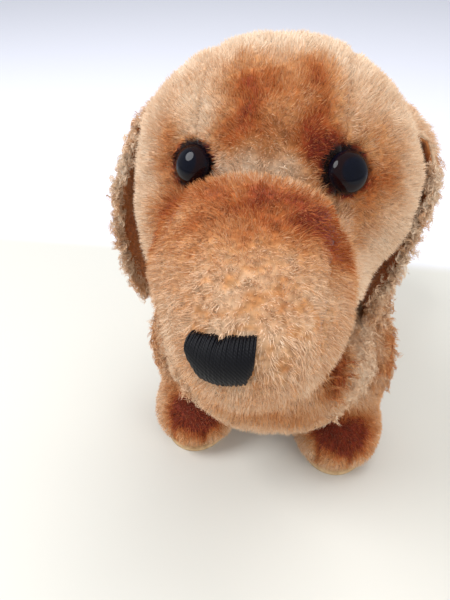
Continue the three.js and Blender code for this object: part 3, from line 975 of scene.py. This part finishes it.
def build_nose():
    v, f = [], []
    for k, x in enumerate(np.linspace(-NOSE_HALF, NOSE_HALF, STITCHES)):
        line, outward = stitch_line(k, x)
        sideways = unit(np.cross(outward, unit(np.gradient(line, axis=0))))
        first = len(v)
        for j in range(STITCH_STEPS):
            for s in range(STITCH_SIDES):
                a = 2 * math.pi * s / STITCH_SIDES
                v.append(line[j] + THREAD_R * (sideways[j] * math.cos(a) * 0.85 + outward[j] * math.sin(a)))
        for j in range(STITCH_STEPS - 1):
            a = first + j * STITCH_SIDES
            b = a + STITCH_SIDES
            for s in range(STITCH_SIDES):
                t = (s + 1) % STITCH_SIDES
                f.append((a + s, a + t, b + t, b + s))
        f.append(tuple(first + s for s in reversed(range(STITCH_SIDES))))
        f.append(tuple(len(v) - STITCH_SIDES + s for s in range(STITCH_SIDES)))
    ob = new_object("nose_satin_stitches", np.array(v), f, thread_material())
    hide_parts("nose_stitching")
    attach(ob, "head")


build_nose()


# ---------------- trunk
def torso_comb(p):
    """The nap runs back along the trunk and down its sides."""
    q = p - TORSO
    return np.stack([q[:, 0] * 0.02, np.full(len(q), 0.7), -0.7 * ramp(np.abs(q[:, 0]), 2, 16) - 0.4], 1)


def bib_comb(p):
    """The nap runs down the chest."""
    q = p - TORSO
    return np.stack([q[:, 0] * 0.015, np.full(len(q), -0.2), np.full(len(q), -0.9)], 1)


def build_trunk():
    v, f = surface(TORSO_FORM, TORSO, torso_field, 1.5)
    middles = face_middles(v, f)
    x, y, z = np.abs(middles[:, 0]), middles[:, 1], middles[:, 2]
    left, below = middles[:, 0] > 0, z < SHOULDER_Z
    middle, half = (chest_low + chest_high) / 2, (chest_high - chest_low) / 2
    chest = (y < chest_high[1]) & ((x / half[0]) ** 2 + ((z - middle[2]) / half[2]) ** 2 < 1)
    belly = (x < belly_high[0] - 1) & (z < BELLY_TOP) & (y > belly_low[1]) & (y < belly_high[1]) & ~chest
    flank = ~chest & ~belly
    panels = [
        ("chest", chest, "chest_panel"),
        ("belly", belly, "belly_gusset"),
        ("left_flank", flank & left, "body_side_left_panel"),
        ("right_flank", flank & ~left, "body_side_right_panel"),
    ]
    for i, (stem, where, node) in enumerate(panels):
        keep = where & below
        comb = bib_comb if stem == "chest" else torso_comb
        slot = "long_mohair" if "flank" in stem else "short_mohair"
        cover(stem, v, f, keep, torso_tone, "torso", node, slot, comb,
              length=TORSO_PILE, per_mm2=7.0, seed=300 + i * 20, width=0.15)
        if "flank" in stem:
            p, n = scatter(*subset(v, f, keep), 0.42, seed=700 + i)
            curls(f"{stem}_curls", p, n, torso_tone, "torso", torso_comb, 5.2, 1.0, 740 + i, strands=8)


build_trunk()


# ---------------- legs
PAD_PROFILE = [(0, 0), (0.94, 0), (1, 0.35), (1, 1.05), (0.95, 1.4), (0, 1.4)]  # (part of half width, height)
PAD_SEGMENTS = 48
CURLS_FROM = 27  # a leg has long curls above this height
# Form, brown of the paw, shift from the CAD place, lean above the paw, and brown spots.
LEGS = {
    "front_leg_left": (FRONT_LEG_FORM, 0.72, (0, 1.3), 0, [(11.5, 2, 43), (10, 0, 35)]),
    "front_leg_right": (FRONT_LEG_FORM, 0.66, (-1.0, 1.6), -1.2, []),
    "hind_leg_left": (HIND_LEG_FORM, 0.55, (0, 0), 0, []),
    "hind_leg_right": (HIND_LEG_FORM, 0.55, (0, 0), 0, []),
}


def build_leg(name, form, dark, shift, lean, spots):
    low, high = box_mm(f"{name}_pad")
    pad_at, pad_half = (low + high) / 2 + np.array([*shift, 0]), (high - low) / 2
    at = np.array([pad_at[0], pad_at[1] + 1, 0.0])
    mirror = -1 if "right" in name else 1
    own = [((x * mirror + lean * (i > 0), y, z), radii) for i, ((x, y, z), radii) in enumerate(form)]
    field, tone = leg_field(own, at), leg_tone(at, dark, spots)
    v, f = surface(own, at, field, 1.15)
    middles = face_middles(v, f)
    keep = (middles[:, 2] > high[2]) & (trunk_distance(middles) > -1.5)
    panel(f"{name}_cloth", v, f, keep, tone, "torso", f"{name}_cover")

    def comb(p):
        q = p - at
        return np.stack([q[:, 0] * 0.02, -0.2 * ramp(-q[:, 1], 4, 12), np.full(len(q), -0.9)], 1)

    short_pile(f"{name}_pile", v, f, keep & (middles[:, 2] > high[2] + 0.6), tone, "torso", comb,
               length=LEG_PILE, per_mm2=7.5, seed=900 + len(name) * 7 + mirror, width=0.14)
    stuffing(f"{name}_stuffing", own, at, field, 2.0, f"{name}_filling", "torso")
    seed = len(name) + mirror
    p, n = scatter(*subset(v, f, keep & (middles[:, 2] > CURLS_FROM)), 0.4, seed=950 + seed)
    curls(f"{name}_curls", p, n, lambda q: tone(q) + 0.06, "torso", comb, 4.8, 1.0, 970 + seed)
    # The felt pad under the paw.
    place = Matrix.Translation((pad_at[0], pad_at[1], 0)) @ Matrix.Diagonal((pad_half[0], pad_half[1], 1, 1))
    pad = lathe(f"{name}_felt", PAD_PROFILE, PAD_SEGMENTS, place, FELT, "torso")
    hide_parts(f"{name}_pad")


for name, values in LEGS.items():
    build_leg(name, *values)


# ---------------- tail
def tail_comb(p):
    return np.tile(np.array([0, 0.8, 0.25]), (len(p), 1))


def build_tail():
    turn = Matrix.Translation(Vector(TAIL)) @ TAIL_TURN.to_4x4()
    v, f = remeshed([((0, 0, 0), tuple(TAIL_RADII))], 0.9, turn)
    v = onto(tail_field, relaxed(v, f, 2))
    keep = trunk_distance(face_middles(v, f)) > -1.0
    cover("tail", v, f, keep, tail_tone, "torso", "tail_cover", "long_mohair", tail_comb,
          length=TAIL_PILE, per_mm2=6.5, seed=811)
    p, n = scatter(*subset(v, f, keep), 0.3, seed=812)
    curls("tail_curls", p, n, tail_tone, "torso", tail_comb, 5.0, 0.9, 813)


build_tail()


# ---------------- ears
# How far an ear stands out at each height below its top.
EAR_HEIGHTS = np.array([0, -5, -11, -18, -28, -38, -52], float)
EAR_STANDS_OUT = {
    "left": np.array([0, 0.3, 0.9, 2.0, 2.0, 1.4, 1.0]),
    "right": np.array([0, 3.4, 5.6, 7.0, 7.6, 7.0, 5.8]),
}
TUCK = {"left": 5.5, "right": 1.5}  # how far the front edge comes in under the cheek
RAISED = {"left": -2.0, "right": 1.6}  # how far the ear's shoulder stands above an even one
# The edges of the ear's outline, as (y, z) from its top.
EAR_FRONT = [(-5.6, 0.6), (-6.8, -2), (-9, -6), (-11.5, -14), (-13, -26), (-12.4, -38), (-8, -46.5), (0, -49.5)]
EAR_BACK = [(6.2, 0.6), (7.6, -1.8), (11, -6), (13.5, -14), (14.6, -28), (13, -40), (8, -47), (0, -49.5)]
EAR_ROWS, EAR_COLUMNS = 54, 30


def spline(points, count):
    """Even points along a smooth open curve through the given ones."""
    pts = np.array(points, float)
    t = np.concatenate([[0], np.cumsum(np.linalg.norm(np.diff(pts, axis=0), axis=1))])
    fine = np.linspace(0, t[-1], count)
    slope = np.gradient(pts, t, axis=0)
    k = np.clip(np.searchsorted(t, fine, side="right") - 1, 0, len(t) - 2)
    h = (t[k + 1] - t[k])[:, None]
    s = (fine - t[k])[:, None] / h
    ahead = 3 * s**2 - 2 * s**3
    leaving, arriving = (s**3 - 2 * s**2 + s) * h, (s**3 - s**2) * h
    return (1 - ahead) * pts[k] + leaving * slope[k] + ahead * pts[k + 1] + arriving * slope[k + 1]


def ear_grid(side, sign):
    """The ear's middle surface: rows go down, columns from the front edge to the back edge."""
    at = ear_at(side)
    front, back = spline(EAR_FRONT, EAR_ROWS), spline(EAR_BACK, EAR_ROWS)
    s = np.linspace(0, 1, EAR_COLUMNS)
    grid = np.empty((EAR_ROWS, EAR_COLUMNS, 3))
    for i in range(EAR_ROWS):
        y = front[i, 0] * (1 - s) + back[i, 0] * s
        z = front[i, 1] * (1 - s) + back[i, 1] * s
        z = z + RAISED[side] * ramp(-z, 0, 2.5) * (1 - ramp(-z, 3, 16))
        out = np.interp(-z, -EAR_HEIGHTS, EAR_STANDS_OUT[side])
        # The front edge rolls outwards, and the lower end waves a little.
        roll = 1.5 * ramp(0.35 - s, 0, 0.35) * ramp(-z, 6, 16)
        roll = roll - TUCK[side] * ramp(0.8 - s, 0, 0.8) * ramp(-z, 14, 44)
        wave = 0.7 * np.sin(s * 7 + 1.2 * sign) * ramp(-z, 24, 48)
        sewn = 1.6 * (1 - ramp(-z, -0.6, 3.0))  # the sewn edge turns in to the hinge
        grid[i, :, 0] = at[0] + sign * (out + roll + wave + 0.4 - sewn)
        grid[i, :, 1] = at[1] + y
        grid[i, :, 2] = at[2] + z
    flat = grid.reshape(-1, 3)
    # Keep the flap off the side of the head.
    for _ in range(6):
        push = np.maximum(2.6 - head_field(flat, HEAD_FORM), 0) * ramp(at[2] - flat[:, 2], 0.6, 4)
        flat = flat + push[:, None] * np.array([sign * 0.9, 0, 0])
    return flat.reshape(EAR_ROWS, EAR_COLUMNS, 3)


def ear_edge():
    """0 at the free edge of the flap's grid, rising to 1 inside it."""
    i, j = np.meshgrid(np.arange(EAR_ROWS), np.arange(EAR_COLUMNS), indexing="ij")
    near = np.minimum.reduce([j, EAR_COLUMNS - 1 - j, (EAR_ROWS - 1 - i) * 1.2, i * 1.2]).astype(float)
    return np.sqrt(np.clip(near / 5.0, 0, 1)).ravel()


def ear_sheet(side, sign, layer, grid, lift, thick, tone, ripple=0.0):
    """A closed cloth layer on a grid of points, swelling to one side between its edges."""
    flat = grid.reshape(-1, 3)
    corners = [(i * EAR_COLUMNS + j, (i + 1) * EAR_COLUMNS + j)
               for i in range(EAR_ROWS - 1) for j in range(EAR_COLUMNS - 1)]
    faces = [(a, a + 1, b + 1, b) for a, b in corners]
    n = vertex_normals(flat, faces)
    if (n[:, 0] * sign).sum() < 0:
        faces = [f[::-1] for f in faces]
        n = -n
    waves = np.sin(2 * math.pi * (flat[:, 2] + 0.35 * flat[:, 1] + 1.3 * noise(flat, 6.0, 81)) / 4.2)
    v = flat + n * (ear_edge() * (lift + ripple * waves))[:, None]
    ob = new_object(f"{side}_ear_{layer}_cloth", v, faces, CLOTH)
    paint(ob, colour_at(tone(v)))
    thicken(ob, thick, 0)
    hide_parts(f"ear_{side}_{layer}")
    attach(ob, f"{side}_ear")
    return v, faces


def down_comb(p):
    return np.tile(np.array([0, 0.12, -1.0]), (len(p), 1))


def fringe(side, sign, grid, seed):
    """Locks all round the ear's free edge."""
    edge = np.concatenate([grid[6:, 0], grid[-1, 1:-1], grid[6:, -1][::-1]])
    middle = grid[EAR_ROWS // 2, EAR_COLUMNS // 2]
    reps = np.repeat(np.arange(len(edge)), 5)
    local = np.random.default_rng(seed + 5)
    root = edge[reps] + local.normal(0, 0.55, (len(reps), 3))
    outward = unit(root - middle)
    outward[:, 2] -= 0.5
    facing = np.array([sign, 0.0, 0.0]) + 0.3 * local.normal(size=(len(root), 3))
    curls(f"{side}_ear_fringe", root, unit(facing), ear_tone, f"{side}_ear", lambda q: outward, 2.9, 0.75,
          seed + 120, strands=11, turns=1.2, lift=0.3, width=0.16)


def build_ear(side, sign):
    grid = ear_grid(side, sign)
    body, seed, top = f"{side}_ear", 1200 + sign, ear_at(side)[2]
    v, f = ear_sheet(side, sign, "outer", grid, 1.0, 0.7, ear_tone, 0.45)
    # The lining's dark colour is painted shade for the gap between the ear and the head.
    inner_v, inner_f = ear_sheet(side, sign, "lining", grid, -0.8, 0.6, painted_shade_lining_tone)
    whole = np.ones(len(f), bool)
    short_pile(f"{side}_ear_pile", v, f, whole, ear_tone, body, down_comb,
               length=2.0, per_mm2=8.0, seed=seed, slot="long_mohair", width=0.14)
    short_pile(f"{side}_ear_lining_pile", inner_v, [face[::-1] for face in inner_f], whole, painted_shade_lining_tone, body,
               down_comb, length=1.3, per_mm2=6.0, seed=seed + 30, slot="ear_lining")
    p, n = scatter(v, f, 0.55, weight=lambda q: ramp(top - q[:, 2], 2, 11), seed=seed + 60)
    curls(f"{side}_ear_curls", p, n, ear_tone, body, down_comb, 4.4, 0.85, seed + 90, lift=0.3)
    fringe(side, sign, grid, seed)


for side, sign in SIDES:
    build_ear(side, sign)

# ---------------- CAD nodes that stay as they are
INNER = {"filling": FILLING, "disc": BOARD, "washer": STEEL, "pin": STEEL, "shank": STEEL}
for node, ob in frame["nodes"].items():
    for word, m in INNER.items():
        if word in node:
            ob.data.materials.clear()
            ob.data.materials.append(m)


# ---------------- floor, lights and camera
def build_floor():
    x, near, far = 4000, -4000, 5000
    corners = [(-x, near, 0), (x, near, 0), (x, far, 0), (-x, far, 0)]
    me = bpy.data.meshes.new("floor")
    me.from_pydata([tuple(np.array(c) * MM) for c in corners], [], [(0, 1, 2, 3)])
    me.materials.append(ground_material(cad_box[1][1] + 8 * MM, 7 * MM))
    placed("floor", me)


def area_light(name, place, target, size, power, colour, shows):
    """A round soft light. Shows tells whether it's seen in glossy things."""
    data = bpy.data.lights.new(name, "AREA")
    data.shape = "DISK"
    data.size = size
    data.energy = power
    data.color = colour
    ob = placed(name, data)
    at = Vector(place) * MM
    ob.matrix_world = aimed(at, at - Vector(target) * MM)
    ob.visible_glossy = shows


def soft_sky():
    world = bpy.data.worlds.new("World")
    bpy.context.scene.world = world
    world.use_nodes = True
    set_inputs(world.node_tree.nodes["Background"], {"Color": (0.93, 0.96, 1.0, 1), "Strength": 0.60})


def place_camera():
    """The camera stands close and looks down on the head, from a little to the dog's left."""
    at = Vector((12.0, -141.6, 148.9)) * MM
    azimuth, elevation, roll = (math.radians(a) for a in (11.5, 37.1, -0.1))
    level = math.cos(elevation)
    back = Vector((math.sin(azimuth) * level, -math.cos(azimuth) * level, math.sin(elevation)))
    data = bpy.data.cameras.new("camera")
    data.sensor_width = 36
    data.lens = 35.04
    data.clip_start = 0.005
    data.clip_end = 20
    camera = placed("camera", data)
    camera.matrix_world = aimed(at, back) @ Matrix.Rotation(roll, 4, "Z")
    bpy.context.scene.camera = camera


build_floor()
# Only the window shows in the eyes.
area_light("window", (-420, -160, 520), (0, -20, 60), 0.36, 3.1, (0.97, 0.98, 1.0), True)
area_light("top", (120, 60, 640), (0, 0, 50), 0.5, 2.0, (1, 1, 1), False)
area_light("fill", (460, -360, 260), (0, -20, 60), 0.4, 1.3, (1.0, 0.98, 0.95), False)
soft_sky()
place_camera()
bpy.context.scene.view_settings.view_transform = "Standard"
